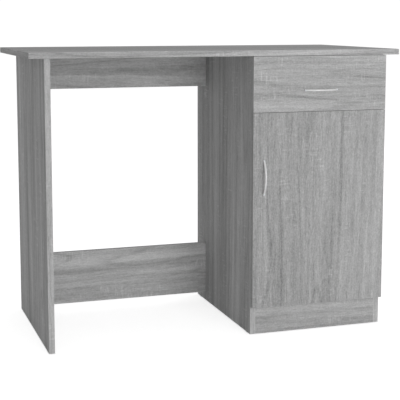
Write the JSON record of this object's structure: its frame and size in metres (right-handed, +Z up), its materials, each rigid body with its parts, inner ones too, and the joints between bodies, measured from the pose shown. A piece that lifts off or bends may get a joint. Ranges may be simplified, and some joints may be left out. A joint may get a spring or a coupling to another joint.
{
  "type": "writing desk",
  "caption": "Flat-pack writing desk: thin top on a side panel and a cabinet with a drawer over a hinged door, joined by back rails; slim bow handles.",
  "frame": {"origin": "middle of the footprint's bounding box, on the floor", "axes": "+X along the desk's width to the sitter's right, towards the cabinet; -Y out of the front, towards the sitter; +Z up"},
  "size_m": [1, 0.5174, 0.76],
  "materials": {
    "oak_board": "melamine-faced particle board, matt grey oak print with fine grain, edges banded to match",
    "hardboard": "thin hardboard, painted pale on the seen face",
    "handle_metal": "satin silver plating",
    "zinc_steel": "bright zinc plating on small fasteners",
    "hinge_steel": "nickel plating on pressed steel hinges",
    "runner_enamel": "white powder-coated pressed steel",
    "roller_plastic": "white nylon",
    "dowel_wood": "plain beech dowels",
    "glide_plastic": "grey nail-on plastic glides",
    "bumper_rubber": "soft translucent bumpers"
  },
  "bodies": {
    "desk": {"desktop": "oak_board", "left_leg_panel": "oak_board", "cabinet_left_side": "oak_board", "cabinet_right_side": "oak_board", "upper_back_rail": "oak_board", "lower_back_rail": "oak_board", "cabinet_floor": "oak_board", "plinth": "oak_board", "drawer_divider": "oak_board", "shelf": "oak_board", "shelf_pins": "zinc_steel", "cabinet_back": "hardboard", "back_nails": "zinc_steel", "cam_locks": "zinc_steel", "cam_bolts": "zinc_steel", "dowels": "dowel_wood", "floor_glides": "glide_plastic", "cabinet_runner_left": "runner_enamel", "cabinet_runner_right": "runner_enamel", "cabinet_runner_screws": "zinc_steel", "hinge_arm_upper": "hinge_steel", "hinge_arm_lower": "hinge_steel", "hinge_arm_screws": "zinc_steel"},
    "drawer": {"drawer_front": "oak_board", "drawer_left_side": "oak_board", "drawer_right_side": "oak_board", "drawer_back": "oak_board", "drawer_bottom": "hardboard", "drawer_handle": "handle_metal", "drawer_handle_screws": "zinc_steel", "drawer_cam_locks": "zinc_steel", "drawer_cam_bolts": "zinc_steel", "drawer_back_screws": "zinc_steel", "drawer_runner_left": "runner_enamel", "drawer_runner_right": "runner_enamel", "drawer_runner_screws": "zinc_steel"},
    "hinge_links": {"hinge_link_upper": "hinge_steel", "hinge_link_lower": "hinge_steel"},
    "door": {"door": "oak_board", "door_handle": "handle_metal", "door_handle_screws": "zinc_steel", "hinge_cup_upper": "hinge_steel", "hinge_cup_lower": "hinge_steel", "hinge_cup_screws": "zinc_steel", "door_bumpers": "bumper_rubber"},
    "front_wheel_left": {"front_roller_left": "roller_plastic"},
    "rear_wheel_left": {"rear_roller_left": "roller_plastic"},
    "front_wheel_right": {"front_roller_right": "roller_plastic"},
    "rear_wheel_right": {"rear_roller_right": "roller_plastic"}
  },
  "joints": [
    {"name": "drawer_slide", "type": "slide", "parent": "desk", "child": "drawer", "axis": [0, -1, 0], "range_m": [0, 0.27]},
    {"name": "hinge_link_swing", "type": "hinge", "parent": "desk", "child": "hinge_links", "pos_m": [0.4286, -0.23385, 0.172], "axis": [0, 0, 1], "range_deg": [-52.3, 0]},
    {"name": "door_swing", "type": "hinge", "parent": "hinge_links", "child": "door", "pos_m": [0.4484, -0.22805, 0.172], "axis": [0, 0, 1], "range_deg": [0, 147.25]},
    {"name": "front_roller_left_spin", "type": "hinge", "parent": "desk", "child": "front_wheel_left", "pos_m": [0.1015, -0.20925, 0.6234], "axis": [1, 0, 0], "range_deg": [-1, 1720]},
    {"name": "front_roller_right_spin", "type": "hinge", "parent": "desk", "child": "front_wheel_right", "pos_m": [0.4415, -0.20925, 0.6234], "axis": [1, 0, 0], "range_deg": [-1, 1720]},
    {"name": "rear_roller_left_spin", "type": "hinge", "parent": "drawer", "child": "rear_wheel_left", "pos_m": [0.1015, 0.11575, 0.6216], "axis": [1, 0, 0], "range_deg": [-1, 1935]},
    {"name": "rear_roller_right_spin", "type": "hinge", "parent": "drawer", "child": "rear_wheel_right", "pos_m": [0.4415, 0.11575, 0.6216], "axis": [1, 0, 0], "range_deg": [-1, 1935]}
  ],
  "couplings": [
    {"joint": "hinge_link_swing", "follows": "door_swing", "ratio": -0.35484},
    {"joint": "front_roller_left_spin", "follows": "drawer_slide", "rad_per_m": 111.11},
    {"joint": "front_roller_right_spin", "follows": "drawer_slide", "rad_per_m": 111.11},
    {"joint": "rear_roller_left_spin", "follows": "drawer_slide", "rad_per_m": 125},
    {"joint": "rear_roller_right_spin", "follows": "drawer_slide", "rad_per_m": 125}
  ]
}
